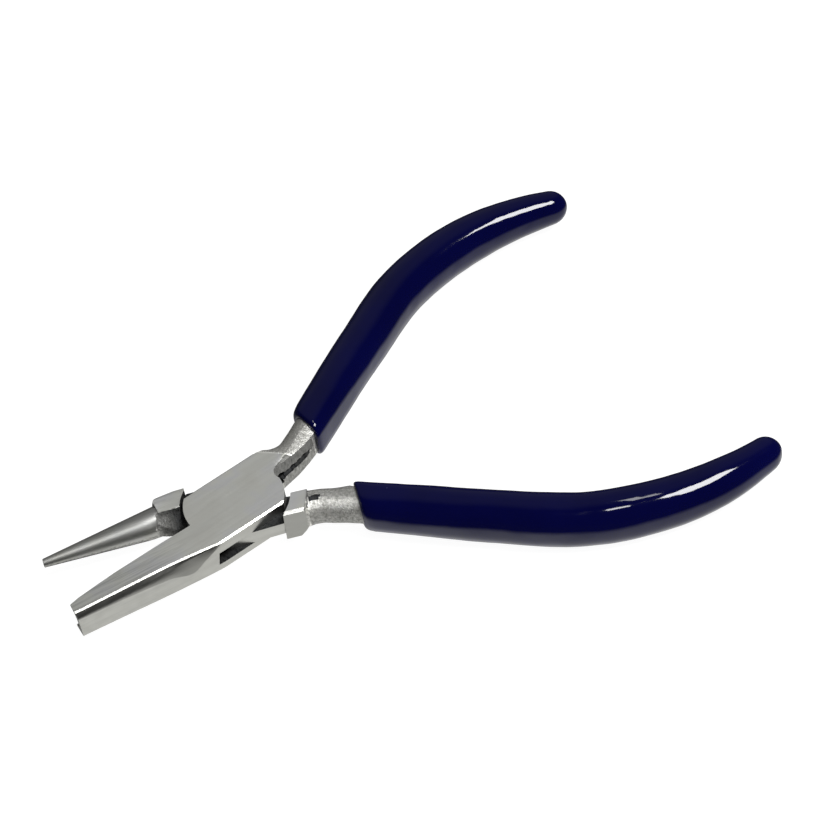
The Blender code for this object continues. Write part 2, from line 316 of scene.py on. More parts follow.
def section(near, far, near_height, far_height, near_points, far_points, fill=4, under=None):
    """A closed section standing on the plan line near to far.

    The points of a corner are (inwards, down) from it. fill more points go on the flat.
    under is the corner below the near one, if it isn't the same.
    """
    near = Vector((*near, 0))
    far = Vector((*far, 0))
    across = (far - near).normalized()
    width = (far - near).length
    top = [(y, near_height - z) for y, z in reversed(near_points)]
    right = [(width - y, far_height - z) for y, z in far_points]
    start, end = Vector(top[-1]), Vector(right[0])
    middle = [tuple(start.lerp(end, i / (fill + 1))) for i in range(1, fill + 1)]
    low = [(y, near_height - z) for y, z in reversed(under)] if under else top
    below = [(y, -z) for y, z in reversed(low + middle + right)]
    loop = top + middle + right + [(width, 0.0)] + below + [(0.0, UNDER_EDGE if under else 0.0)]
    return [tuple(near + across * y + Vector((0, 0, z))) for y, z in loop]


def handle_stations(step):
    """Centre, half width and turn of every section of a handle."""
    knots = np.array([(*p, w) for p, w in zip(HANDLE_LINE, HANDLE_HALF_WIDTHS)], float)
    reach = np.r_[0, np.cumsum(np.linalg.norm(np.diff(knots[:, :2], axis=0), axis=1))]
    slopes = np.gradient(knots, reach, axis=0, edge_order=2)
    count = int(reach[-1] / step) + 1
    line = []
    for s in np.linspace(0, reach[-1], count):
        i = min(int(np.searchsorted(reach, s, side="right")) - 1, len(reach) - 2)
        length = reach[i + 1] - reach[i]
        t = (s - reach[i]) / length
        line.append(hermite(t, length, knots[i], knots[i + 1], slopes[i], slopes[i + 1]))
    line = np.array(line)
    heading = np.gradient(line[:, :2], axis=0)
    made = []
    for i, ((x, y, width), (dx, dy)) in enumerate(zip(line, heading)):
        square = min(i * reach[-1] / (count - 1) / SQUARING_LENGTH, 1)
        lean = math.atan2(dy, dx)
        turn = lean * square * square * (3 - 2 * square)
        made.append((x, y, width, lean, turn, square))
    return made


def cross_line(x, y, turn, reach, side):
    """Both ends of the line across a handle; side is 1 for the upper and -1 for the lower."""
    across = (-math.sin(turn), math.cos(turn))
    near = (x - across[0] * reach, side * (y - across[1] * reach))
    far = (x + across[0] * reach, side * (y + across[1] * reach))
    return near, far


def handle_ring(station, side, inset, push=0.0):
    x, y, width, lean, turn, square = station
    x += push * math.cos(lean)
    y += push * math.sin(lean)
    near, far = cross_line(x, y, turn, (width - inset) / math.cos(lean - turn), side)
    height = width * GRIP_RISE - inset
    inner_radius = (width - inset) * (GRIP_INNER_ROUND[0] + GRIP_INNER_ROUND[1] * square)
    outer_radius = (width - inset) * GRIP_OUTER_ROUND
    return section(near, far, height, height, corner_points(inner_radius, inner_radius, 12, 0),
                   corner_points(outer_radius, outer_radius, 12, 0), 2)


def round_off(rings, length, angles):
    """Closes a loft with a dome of this length past its last section."""
    last = np.array(rings[-1])
    centre = last.mean(axis=0)
    step = centre - np.array(rings[-3]).mean(axis=0)
    forward = step / np.linalg.norm(step)
    capped = list(rings)
    for angle in angles:
        shrink = math.cos(math.radians(angle))
        push = forward * length * math.sin(math.radians(angle))
        capped.append([tuple(centre + (point - centre) * shrink + push) for point in last])
    return capped


def finish(item, angle=32):
    """Smooth shading with hard edges, and normals led by the large faces."""
    item.data.shade_smooth()
    item.data.set_sharp_from_angle(angle=math.radians(angle))
    weighted = item.modifiers.new("weighted", "WEIGHTED_NORMAL")
    weighted.keep_sharp = True
    weighted.weight = 60
    return item


def ripple(item, amount, size, seed, along=1.0):
    """Moves the skin along its normals by soft noise; amount and size in millimetres."""
    mesh = item.data
    shift = []
    for vertex in mesh.vertices:
        p = vertex.co / MM
        q = Vector((p.x * along, p.y, p.z)) / size + Vector((seed, seed * 0.7, seed * 1.3))
        shift.append(vertex.normal * ((noise.noise(q) - 0.7) * amount * MM))
    for vertex, move in zip(mesh.vertices, shift):
        vertex.co += move


# ---------------------------------------------------------------- steel halves

def tang_stations(side, inner, outer, heights, corners, head):
    """Sections of a tang, from the joint to inside its grip."""
    keys = []
    for (ix, iy), (ox, oy), height, corner in zip(inner, outer, heights, corners):
        keys.append((ix, side * iy, ox, side * oy, height, *corner))
    first = handle_stations(1.0)[0]
    ring = handle_ring(first, side, STEEL_INSET)
    half = len(ring) // 2
    near, far = ring[-1], ring[half - 1]
    keys.append((near[0], near[1], far[0], far[1], first[2] * GRIP_RISE - STEEL_INSET, 2.9, 3.0, 0))
    keys = np.array(head + keys)
    knots = np.arange(len(keys))
    return monotone(knots, keys, np.linspace(0, len(keys) - 1, (len(keys) - 1) * 7 + 1))


def tang_rings(side, inner, outer, heights, corners, near_corner, head=()):
    """near_corner is width, height and flatness of the inner edge at the joint and the grip."""
    rings = []
    stations = tang_stations(side, inner, outer, heights, corners, list(head))
    for i, (nx, ny, fx, fy, height, wide, tall, flat) in enumerate(stations):
        wide = min(wide, abs(fy - ny) * OUTER_CORNER_LIMIT)
        t = i / (len(stations) - 1)
        w, h, f = np.array(near_corner[0]) * (1 - t) + np.array(near_corner[1]) * t
        rings.append(section((nx, ny), (fx, fy), height, height, corner_points(w, h, 9, f),
                             corner_points(wide, tall, 9, flat)))
    return rings


def hidden_tang(side):
    """The rest of the bar, inside the grip."""
    stations = handle_stations(4.0)
    rings = []
    for station in stations[1:-1]:
        x, y, width, _, turn, _ = station
        radius = width - STEEL_INSET
        near, far = cross_line(x, y, turn, radius, side)
        height = width * GRIP_RISE - STEEL_INSET
        corner = corner_points(radius * BAR_ROUND, radius * BAR_ROUND, 9, 0)
        rings.append(section(near, far, height, height, corner, corner))
    return round_off(rings, BAR_END, (35, 65, 85))


def box_body():
    """One skin from the tip of the concave jaw to the end of the tang in its grip."""
    xs = [row[0] for row in JAW]
    at = np.concatenate([np.linspace(*span) for span in JAW_STATIONS])
    shape = monotone(xs, [row[1:] for row in JAW], np.clip(at, xs[0], xs[-1]))
    rings = []
    plain = corner_points(BEVEL, BEVEL_DROP, 9, 1)
    for x, (near, wide, tall, steep, left, near_height, far_height) in zip(at, shape):
        far = float(np.interp(x, *JAW_FAR_SIDE))
        tall = min(tall, near_height + 0.8)
        slant = TIP_SLANT * max(0.0, 1 - (x - xs[0]) / TIP_LENGTH)
        rings.append(section((x, near), (x + slant, far), near_height, far_height,
                             dressed_points(wide, tall, steep, left), plain, under=plain))
    inner = [(10.0, 0.4)] + [(x, y - BOX_TANG_SPARE) for x, y in BOX_TANG_INNER[1:-1]]
    inner.append(BOX_TANG_INNER[-1])
    rings += tang_rings(1, inner, BOX_TANG_OUTER, BOX_TANG_HEIGHTS, BOX_TANG_CORNERS,
                        BOX_TANG_NEAR_CORNERS, [BOX_TANG_HEAD])
    rings += hidden_tang(1)
    return loft("box_half_body", rings)


def front_cutter():
    """Clears the inside of the concave jaw and the round front of the cheeks."""
    outline = list(JAW_INNER_EDGE) + arc(CHEEK_RADIUS, *CHEEK_FRONT_ARC, 24)
    outline += [(-5.7, 9.0), (-36.5, 9.0)]
    return prism("front_cutter", outline, -THROUGH, THROUGH)


def rear_cutter():
    """Clears the round rear of the cheeks and the inside of the tang."""
    outline = arc(CHEEK_RADIUS, *CHEEK_REAR_ARC, 16) + CHEEK_HEEL
    outline += BOX_TANG_INNER + [(17.7, -9.0), (5.6, -9.0)]
    return prism("rear_cutter", outline, -THROUGH, THROUGH)


def inner_edge(x):
    """Where the inner face of the box half's tang is, in its grip as well."""
    y = float(np.interp(x, [p[0] for p in BOX_TANG_INNER], [p[1] for p in BOX_TANG_INNER]))
    return y + max(x - BOX_TANG_INNER[-1][0], 0.0) * TANG_SPREAD


def forging_groove():
    """The ragged seam left along the middle of the upper tang's inner face."""
    rings = []
    for i in range(40):
        t = i / 39
        x = GROOVE_START + GROOVE_LENGTH * t
        y = inner_edge(x)
        wobble = noise.noise(Vector((x * 0.9, 3.1, 0)))
        fine = noise.noise(Vector((x * 2.7, 7.7, 0)))
        end = min(1.0, 6.0 * (1 - t)) ** 0.5
        half = float(np.interp(t, [0, 0.25, 1], [1.0, 0.72, 0.45])) + 0.2 * wobble + 0.28 * fine
        half = half * end + 0.02
        deep = (float(np.interp(t, [0, 0.3, 1], [1.5, 0.9, 0.5])) + 0.3 * fine) * end + 0.02
        middle = -0.05 + 0.25 * wobble
        ring = []
        for k in range(12):
            angle = 2 * math.pi * k / 12
            ring.append((x, y - 0.02 + deep * math.cos(angle), middle + half * math.sin(angle)))
        rings.append(ring)
    return loft("groove", rings)


def slot():
    """The opening through the box, in which the web swings."""
    return disc("slot", ((SLOT_LEVEL - SLOT_HALF_HEIGHT, SLOT_RADIUS + SLOT_FLARE),
                         (SLOT_LEVEL + SLOT_HALF_HEIGHT, SLOT_RADIUS)))


def box_half():
    half = box_body()
    combine(half, front_cutter(), "DIFFERENCE")
    combine(half, rear_cutter(), "DIFFERENCE")
    combine(half, slot(), "DIFFERENCE")
    combine(half, turned("hollow", [HOLLOW_ROOT, HOLLOW_TIP], HOLLOW_STEPS), "DIFFERENCE")
    combine(half, forging_groove(), "DIFFERENCE")
    combine(half, drum("bore", PIN_RADIUS), "DIFFERENCE")
    return finish(half, 13)


def dense(points, gap):
    """The same outline with evenly spread points, its corners kept."""
    made = []
    for (y0, z0), (y1, z1) in zip(points, points[1:]):
        steps = max(1, round(math.hypot(y1 - y0, z1 - z0) / gap))
        made += [(y0 + (y1 - y0) * i / steps, z0 + (z1 - z0) * i / steps) for i in range(steps)]
    return made + [points[-1]]


def collar_slant(x, y, z, inner):
    """How far back the collar's front face stands, which isn't quite square to the jaw."""
    if inner:
        near_neck = float(np.interp(x, [-16.0, NECK, -14.1, -11.6], [0, 1, 1, 0]))
        return near_neck * float(np.interp(abs(z), [0.9, 1.2, 1.7, 2.3, 3.0],
                                           [0.0, -0.4, 0.1, 0.5, 0.5]))
    near_neck = float(np.interp(x, [NECK, -14.1, -12.6], [0, 1, 0]))
    return near_neck * float(np.interp(y, [2.2, 4.0, 4.9, 5.5, 5.8, 6.0],
                                       [0.5, 0.15, -0.15, 0.2, 0.7, 1.2]))


def jaw_block():
    """The cone and its collar in one skin: round up to the neck, then flats and a hollow side."""
    ridge_y, ridge_z = COLLAR_PROFILE[COLLAR_RIDGE]
    outside = dense(COLLAR_PROFILE[:COLLAR_RIDGE + 1], COLLAR_DENSITY)
    inside = dense(COLLAR_PROFILE[COLLAR_RIDGE:], COLLAR_DENSITY)[1:]
    upper = outside + inside
    profile = upper + [(y, -z) for y, z in reversed(upper[1:-1])]
    xs = [-35.4, -35.34, *np.linspace(-34.5, -14.5, 21), -14.3, NECK, -14.1, -13.9,
          *np.linspace(-13.5, -8.0, 12)]
    rings = []
    for x in xs:
        along = (CONE_ROOT[0] - x) / (CONE_ROOT[0] - CONE_TIP[0])
        centre_y = CONE_ROOT[1] + (CONE_TIP[1] - CONE_ROOT[1]) * along
        radius = min(CONE_ROOT[2] + (CONE_TIP[2] - CONE_ROOT[2]) * along, CONE_LARGEST_RADIUS)
        if x in CONE_END_RADII:
            radius = CONE_END_RADII[x]
        narrowing = 0.3 * float(np.interp(x, [-16.4, NECK], [0, 1])) ** 2
        ring = []
        for y, z in profile:
            angle = math.atan2(z, y - CONE_AXIS_AT_COLLAR)
            inner = y < ridge_y
            turned_in = radius - narrowing * inner * float(np.interp(y, [1.0, 2.0], [1, 0]))
            round_y = centre_y + turned_in * math.cos(angle)
            round_z = turned_in * math.sin(angle)
            # the shape goes over from round to the collar's profile between the neck and full
            full = float(np.interp(abs(z), [1.0, 1.6], [-11.8, -14.1])) if inner else -13.9
            share = float(np.interp(x, [NECK, full], [0, 1]))
            # the ridge starts a little lower, and the outer side flares towards the box
            dip = (ridge_z - 2.95) * float(np.interp(x, [-13.5, -9.0], [1, 0]))
            dip *= float(np.interp(y, [2.1, 2.2, 4.2], [0.0, 1.0, 0.0])) * (abs(z) > 3.0)
            flat_z = math.copysign(max(abs(z) - dip, 0.0), z)
            flare = 0.6 * float(np.interp(x, [-13.9, -9.9], [0, 1])
                                * np.interp(y, [3.9, 5.3], [0, 1]))
            ring.append((x + collar_slant(x, y, z, inner),
                         round_y + (y + flare - round_y) * share,
                         round_z + (flat_z - round_z) * share))
        rings.append(ring)
    block = loft("jaw_block", rings)
    return combine(block, drum("clearance", COLLAR_BACK_RADIUS), "DIFFERENCE")


def web():
    """The thin plate that runs through the slot."""
    side = math.degrees(math.asin(WEB_HALF_WIDTH / WEB_RADIUS))
    outline = arc(WEB_RADIUS, 180 - side, 180 + side, 40) + arc(WEB_RADIUS, -side, -5, 28)
    outline += arc(WEB_REAR_RADIUS, -4, 48, 30)
    return prism("lap_half_body", outline, SLOT_LEVEL - WEB_HALF_HEIGHT,
                 SLOT_LEVEL + WEB_HALF_HEIGHT)


def bolster():
    """Full height shoulder behind the box; its side ends in the curve left by grinding."""
    rings = []
    for z, rear, step in BOLSTER_LEVELS:
        reach = BOLSTER_REACH - step + (MID - z) * BOLSTER_LEAN
        start = -math.degrees(math.asin(reach / BOLSTER_RADIUS))
        front = arc(BOLSTER_RADIUS, start, BOLSTER_ARC_END, 20)
        side_at_rear = -reach - (rear - front[0][0]) * BOLSTER_TAPER
        outline = front + BOLSTER_REAR + [(rear, side_at_rear)]
        rings.append([(x, y, z) for x, y in outline])
    return loft("bolster", rings)


def pit():
    """A small flaw in the forging, just behind the bolster."""
    rings = []
    for i in range(9):
        t = i / 8
        swell = math.sin(math.pi * (0.04 + 0.92 * t))
        wobble = noise.noise(Vector((t * 3.0, 5.5, 0)))
        rings.append([(PIT[0] + (t - 0.5) * PIT_LENGTH,
                       PIT[1] + 0.2 * wobble + (0.34 + 0.2 * wobble) * swell * math.cos(a),
                       PIT[2] + 0.42 * swell * math.sin(a))
                      for a in np.linspace(0, 2 * math.pi, 12, endpoint=False)])
    return loft("pit", rings)


def lap_half():
    half = web()
    combine(half, jaw_block(), "UNION")
    shoulder = bolster()
    rings = tang_rings(-1, LAP_TANG_INNER, LAP_TANG_OUTER, LAP_TANG_HEIGHTS, LAP_TANG_CORNERS,
                       LAP_TANG_NEAR_CORNERS)
    tang = loft("tang", rings + hidden_tang(-1))
    combine(tang, drum("clearance", BOLSTER_RADIUS + 0.6), "DIFFERENCE")
    combine(tang, pit(), "DIFFERENCE")
    combine(shoulder, tang, "UNION")
    combine(half, shoulder, "UNION")
    combine(half, drum("bore", BORE_RADIUS), "DIFFERENCE")
    return finish(half)


def pivot_pin():
    """A plain pin, ground flush with both cheeks."""
    return finish(disc("pin_body", [(z, PIN_RADIUS) for z in PIN_LEVELS]))


# ---------------------------------------------------------------- grips

def grip(name, side, seed, wave, back):
    """Dipped vinyl sleeve: lip rolled over the steel, long skin, rounded end.

    wave is how uneven the skin is, and back how much further from the joint it starts.
    """
    stations = handle_stations(0.8)
    rim = stations[0]
    rings = [handle_ring(stations[4], side, 1.6)]
    for inset, push in LIP:
        rings.append(handle_ring(rim, side, inset + SKIN, push + back))
    rings += [handle_ring(station, side, SKIN) for station in stations[3:]]
    item = loft(name, round_off(rings, GRIP_END, GRIP_END_ANGLES))
    ripple(item, wave, GRIP_WAVE_SIZE, seed, along=0.7)
    ripple(item, *GRIP_RIPPLE, seed + 5)
    return finish(item, 60)


def place(item, turn):
    """From the closed position of its half to where the frame has it."""
    item.data.transform(Matrix.Translation((0, 0, MID * MM)) @ Matrix.Rotation(turn, 4, "Z"))


# ---------------------------------------------------------------- painted shade, a little dirt, and finish, per face

def paint_shade_and_finish(item, amount_at, satin_at):
    """Stores per face how much painted shade darkens it, with a little dirt in the slot, and how
    coarsely it is ground.
    """
    faces = item.data.polygons
    for name, value_at in (("shade_and_dirt", amount_at), ("satin", satin_at)):
        layer = item.data.attributes.new(name, "FLOAT", "FACE")
        layer.data.foreach_set("value", [value_at(face.center / MM, face.normal) for face in faces])


def flat_satin(p, normal):
    """1 on the ground flats, which are dull, and 0 on the sharper sides and bevels. The same value
    gives the flats the lighter steel colour of painted light and the sides the darker one of
    painted shade.
    """
    return float(abs(normal.z) > 0.97)


def box_satin(p, normal):
    on_tip = p.x < -34.0 and abs(normal.x) > 0.8
    return 1.0 if on_tip else flat_satin(p, normal)


def lap_satin(p, normal):
    on_cone = p.x < -13.9 and p.y < 6.5 and abs(normal.z) < 0.999
    on_bolster_bevel = 7.0 < p.x < 13.0 and abs(p.z) > MID - 0.6 and 0.4 < abs(normal.z) < 0.97
    if on_cone:
        return 0.4
    if on_bolster_bevel:
        return 0.15
    return flat_satin(p, normal)


def faces_out(p, normal):
    """How squarely a face looks away from, or towards, the pivot's axis."""
    return abs(p.x * normal.x + p.y * normal.y) / max(math.hypot(p.x, p.y), 0.01)


def box_shade_and_dirt(p, normal):
    reach = math.hypot(p.x, p.y)
    # Painted shade, with a little dirt, on the faces inside the slot
    in_slot = abs(p.z - SLOT_LEVEL) < SLOT_HALF_HEIGHT + 0.01 and reach < SLOT_RADIUS + 0.45
    if in_slot and abs(p.y) < EDGE - 0.02 and abs(normal.y) < 0.93:
        return 1.0
    # Painted shade on the tang's inner face towards the other half, darker on its upper part and
    # darkest in the forging groove
    on_tang_inside = 9.2 < p.x < 19.5 and abs(p.z) < 2.9 and p.y < 6.0
    in_groove = on_tang_inside and p.y > inner_edge(p.x) + 0.08 and abs(p.z) < 1.6
    if in_groove:
        return 1.0
    if on_tang_inside and normal.z < 0.35:
        return 0.6 if p.z > 0 else 0.4
    # Painted shade on the round ends of the cheeks, in the gap to the other half
    on_cheek_end = abs(reach - CHEEK_RADIUS) < 0.5 and faces_out(p, normal) > 0.9
    return 0.7 if on_cheek_end else 0.0


def lap_shade_and_dirt(p, normal):
    reach = math.hypot(p.x, p.y)
    # Painted shade, with a little dirt, on the web inside the slot
    in_web = abs(p.z - SLOT_LEVEL) < WEB_HALF_HEIGHT + 0.01 and reach < WEB_RADIUS + 0.02
    if in_web and abs(p.y) < EDGE - 0.1:
        return 1.0
    # Painted shade on the collar's hollow side, which faces the other jaw, lighter towards its
    # front
    in_collar_hollow = (-14.6 < p.x < -8.0 and p.y < 2.08
                        and (abs(normal.z) < 0.92 or abs(p.z) < 2.8))
    if in_collar_hollow:
        rim = 0.66 if abs(p.z) > 1.3 else 0.4
        return float(np.interp(p.x, [-14.4, -12.8, -10.5], [rim, 0.78, 1.0]))
    # Painted shade on the faces in the gaps behind the collar and in front of the bolster
    at_joint = abs(reach - COLLAR_BACK_RADIUS) < 0.1 or abs(reach - BOLSTER_RADIUS) < 0.08
    if at_joint and faces_out(p, normal) > 0.9:
        return 1.0
    # Painted shade on the underside of the cone, stronger towards its tip
    on_cone = p.x < NECK - 0.15
    if on_cone:
        under = float(np.interp(p.x, [-35.0, -24.0, -14.3], [0.86, 0.82, 0.55]))
        return float(np.interp(normal.z, [-0.38, 0.08], [under, 0.0]))
    # A line of painted shade where the tang meets the bolster
    behind_shoulder = p.x - BOLSTER_REAR[0][0] - 0.3 * (p.y - BOLSTER_REAR[0][1])
    if 0.0 < behind_shoulder < 0.28 and p.z > 1.8 and p.y > -6.2:
        return 0.8
    # Painted shade in the pit
    in_pit = (p - Vector(PIT)).length < 1.1 and p.z < 3.1 and abs(p.y - PIT[1]) < 0.6
    if in_pit:
        return 1.0
    # Painted shade on the tang's downward faces; its top face is darkened as well
    on_tang = p.x > 12.0
    if on_tang:
        return float(np.interp(normal.z, [-0.2, 0.45, 0.90, 1.0], [0.5, 0.0, 0.0, 0.4]))
    return 0.0


# ---------------------------------------------------------------- materials

class Graph:
    """A short way to wire a node tree."""

    def __init__(self, tree):
        self.tree = tree

    def add(self, kind, **values):
        node = self.tree.nodes.new(kind)
        for key, value in values.items():
            setattr(node, key, value)
        return node

    def link(self, source, target):
        self.tree.links.new(source, target)

    def maths(self, operation, first, second):
        node = self.add("ShaderNodeMath", operation=operation)
        for index, value in enumerate((first, second)):
            if isinstance(value, (int, float)):
                node.inputs[index].default_value = value
            else:
                self.link(value, node.inputs[index])
        return node.outputs[0]

    def remap(self, source, low, high, to_low, to_high):
        node = self.add("ShaderNodeMapRange", interpolation_type="SMOOTHSTEP")
        self.link(source, node.inputs["Value"])
        for key, value in zip(("From Min", "From Max", "To Min", "To Max"),
                              (low, high, to_low, to_high)):
            node.inputs[key].default_value = value
        return node.outputs["Result"]


class Nodes(Graph):
    """One material, in the closed position of the half it is for."""

    def __init__(self, name, turn=0.0, lift=0.0):
        self.material = bpy.data.materials.new(name)
        self.material.use_nodes = True
        super().__init__(self.material.node_tree)
        self.shader = self.tree.nodes["Principled BSDF"]
        back = self.add("ShaderNodeMapping")
        self.link(self.add("ShaderNodeTexCoord").outputs["Object"], back.inputs["Vector"])
        back.inputs["Location"].default_value = (0, 0, -lift)
        back.inputs["Rotation"].default_value = (0, 0, -turn)
        self.coords = back.outputs["Vector"]

    def mapped(self, scale, turn=0.0):
        """Coordinates turned about Z and then stretched."""
        about = self.add("ShaderNodeMapping")
        self.link(self.coords, about.inputs["Vector"])
        about.inputs["Rotation"].default_value = (0, 0, turn)
        node = self.add("ShaderNodeMapping")
        self.link(about.outputs["Vector"], node.inputs["Vector"])
        node.inputs["Scale"].default_value = scale
        return node.outputs["Vector"]

    def noise(self, vector, scale, detail, roughness=0.55):
        node = self.add("ShaderNodeTexNoise")
        self.link(vector, node.inputs["Vector"])
        node.inputs["Scale"].default_value = scale
        node.inputs["Detail"].default_value = detail
        node.inputs["Roughness"].default_value = roughness
        return node.outputs["Fac"]

    def ramp(self, source, stops):
        node = self.add("ShaderNodeValToRGB")
        self.link(source, node.inputs["Fac"])
        elements = node.color_ramp.elements
        while len(elements) < len(stops):
            elements.new(0.5)
        for element, (position, colour) in zip(elements, stops):
            element.position = position
            element.color = (*colour, 1.0)
        return node.outputs["Color"]

    def mix(self, factor, first, second):
        node = self.add("ShaderNodeMix", data_type="RGBA")
        self.link(factor, node.inputs[0])
        self.link(first, node.inputs[6])
        self.link(second, node.inputs[7])
        return node.outputs[2]

    def mix_value(self, factor, first, second):
        node = self.add("ShaderNodeMix", data_type="FLOAT")
        self.link(factor, node.inputs[0])
        self.link(first, node.inputs[2])
        self.link(second, node.inputs[3])
        return node.outputs[0]

    def bump(self, height, strength, distance):
        node = self.add("ShaderNodeBump")
        self.link(height, node.inputs["Height"])
        node.inputs["Strength"].default_value = strength
        node.inputs["Distance"].default_value = distance
        return node.outputs["Normal"]

    def line(self, along_x, along_y, start, end):
        """0 to 1 across a slanted line in plan: along_x * x + along_y * y, in millimetres."""
        parts = self.add("ShaderNodeSeparateXYZ")
        self.link(self.coords, parts.inputs[0])
        x_part = self.maths("MULTIPLY", parts.outputs["X"], along_x / MM)
        y_part = self.maths("MULTIPLY", parts.outputs["Y"], along_y / MM)
        return self.remap(self.maths("ADD", x_part, y_part), start, end, 0, 1)


def steel(name, turn, along_y, rough_from, jaw_turn, grain_scale):
    """Ground and brushed at the joint and jaws, blasted and forged on the tang.

    The forged skin starts at the line x + along_y * y = rough_from; jaw_turn lays the brush
    marks along the jaw.
    """
    n = Nodes(name, turn, MID * MM)
    fine = n.noise(n.mapped((0.25, 3.0, 1.0)), 2600, 3)
    brush = n.noise(n.mapped((0.06, 1.6, 0.5)), 1500, 4)
    cloud = n.noise(n.mapped((1, 1, 1)), 130, 3)
    grain = n.noise(n.mapped(grain_scale), 3200, 4, 0.6)
    streaks = n.noise(n.mapped((0.09, 2.6, 2.6), jaw_turn), 950, 5, 0.65)
    pitted = n.noise(n.mapped(grain_scale), 1900, 4, 0.65)
    # Per-face painted shade in recesses, gaps and undersides, with a little dirt in the slot; where
    # it is high the face also takes the forged texture and more roughness
    shade_and_dirt = n.add("ShaderNodeAttribute", attribute_name="shade_and_dirt").outputs["Fac"]
    satin = n.add("ShaderNodeAttribute", attribute_name="satin").outputs["Fac"]
    forged = n.maths("MAXIMUM", n.line(1.0, along_y, rough_from - 0.25, rough_from + 0.25),
                     n.remap(shade_and_dirt, 0.2, 0.4, 0, 1))

    # Painted light and shade: the flats get a lighter steel colour and the sides and bevels a
    # darker one, picked by satin, beside their real difference in roughness
    lit_flat_colour = n.ramp(cloud, [(0.3, (0.75, 0.75, 0.705)), (0.5, (0.79, 0.795, 0.755)),
                                   (0.62, (0.775, 0.78, 0.78)), (0.75, (0.81, 0.81, 0.75))])
    forged_colour = n.ramp(pitted, [(0.36, (0.60, 0.595, 0.56)), (0.5, (0.88, 0.875, 0.83)),
                                    (0.6, (1.0, 0.99, 0.95))])
    shaded_side_colour = n.ramp(cloud, [(0.3, (0.54, 0.54, 0.505)), (0.7, (0.58, 0.58, 0.55))])
    side_colour = n.mix(satin, shaded_side_colour, lit_flat_colour)
    marks = n.maths("MULTIPLY", n.line(-1.0, 0.0, 7.0, 22.0), n.remap(streaks, 0.4, 0.66, 0, 0.36))
    marks = n.maths("MULTIPLY", marks, n.remap(satin, 0.0, 1.0, 0.35, 1.0))
    jaw_colour = n.mix(marks, side_colour, n.ramp(cloud, [(0.3, (0.20, 0.21, 0.20)),
                                                          (0.7, (0.25, 0.26, 0.26))]))
    clean = n.mix(forged, jaw_colour, forged_colour)
    # Painted shade: faces are mixed towards near black by their per-face amount
    shade_share = n.maths("MULTIPLY", shade_and_dirt, n.remap(pitted, 0.3, 0.7, 0.90, 1.0))
    dark = n.ramp(cloud, [(0.3, (0.020, 0.020, 0.017)), (0.7, (0.04, 0.044, 0.052))])
    n.link(n.mix(shade_share, clean, dark), n.shader.inputs["Base Color"])
    ground_rough = n.mix_value(satin, n.remap(brush, 0.3, 0.7, 0.29, 0.36),
                               n.remap(brush, 0.3, 0.7, 0.59, 0.64))
    forged_rough = n.remap(pitted, 0.34, 0.66, 0.60, 0.42)
    bare_rough = n.mix_value(forged, ground_rough, forged_rough)
    n.link(n.maths("ADD", bare_rough, n.maths("MULTIPLY", shade_and_dirt, 0.2)),
           n.shader.inputs["Roughness"])
    n.shader.inputs["Metallic"].default_value = 1.0
    scratches = n.maths("ADD", n.maths("MULTIPLY", fine, 0.4), brush)
    height = n.mix_value(forged, n.maths("MULTIPLY", scratches, 0.04), grain)
    n.link(n.bump(height, 0.95, 0.0002), n.shader.inputs["Normal"])
    return n.material


def vinyl(name):
    """Glossy navy dip with slight clouds, a few pale specks and a trace of orange peel."""
    n = Nodes(name)
    cloud = n.noise(n.mapped((1, 1, 1)), 60, 3)
    specks = n.noise(n.mapped((1, 1, 1)), 900, 2)
    colour = n.ramp(cloud, [(0.3, (0.0005, 0.0007, 0.030)), (0.7, (0.0008, 0.0012, 0.042))])
    dust = n.ramp(specks, [(0.78, (0.0, 0.0, 0.0)), (0.82, (1.0, 1.0, 1.0))])
    pale = n.ramp(cloud, [(0.0, (0.03, 0.035, 0.10)), (1.0, (0.05, 0.055, 0.13))])
    n.link(n.mix(dust, colour, pale), n.shader.inputs["Base Color"])
    n.link(n.remap(cloud, 0.3, 0.7, 0.05, 0.10), n.shader.inputs["Roughness"])
    n.shader.inputs["Specular IOR Level"].default_value = 0.42
    orange_peel = n.noise(n.mapped((1, 1, 1)), 260, 2)
    n.link(n.bump(orange_peel, 0.15, 0.0002), n.shader.inputs["Normal"])
    return n.material


def floor_paper():
    """White paper, lit enough to stay white under the soft shadow."""
    n = Nodes("floor_paper")
    fibre = n.noise(n.mapped((1, 1, 1)), 60, 4)
    n.link(n.ramp(fibre, [(0.3, (0.17, 0.17, 0.17)), (0.7, (0.20, 0.20, 0.20))]),
           n.shader.inputs["Base Color"])
    n.shader.inputs["Roughness"].default_value = 0.9
    n.shader.inputs["Emission Color"].default_value = (1.0, 1.0, 1.0, 1.0)
    n.shader.inputs["Emission Strength"].default_value = 0.96
    return n.material


def dress(item, body, node, material):
    """Gives a piece its material and body, and hides the CAD node it stands for."""
    item.data.materials.clear()
    item.data.materials.append(material)
    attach(item, body)
    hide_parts(node)


# ---------------------------------------------------------------- studio

def aim(item, target):
    direction = Vector(target) - item.location
    item.rotation_euler = direction.to_track_quat("-Z", "Y").to_euler()


def panel(name, azimuth, elevation, width, height, power):
    light = bpy.data.lights.new(name, "AREA")
    light.shape = "RECTANGLE"
    light.size = width
    light.size_y = height
    light.energy = power
    item = bpy.data.objects.new(name, light)
    bpy.context.scene.collection.objects.link(item)
    a = math.radians(azimuth)
    e = math.radians(elevation)
    item.location = Vector(LIGHTS_AIM) + LIGHT_DISTANCE * Vector(
        (math.cos(e) * math.cos(a), math.cos(e) * math.sin(a), math.sin(e)))
    aim(item, LIGHTS_AIM)


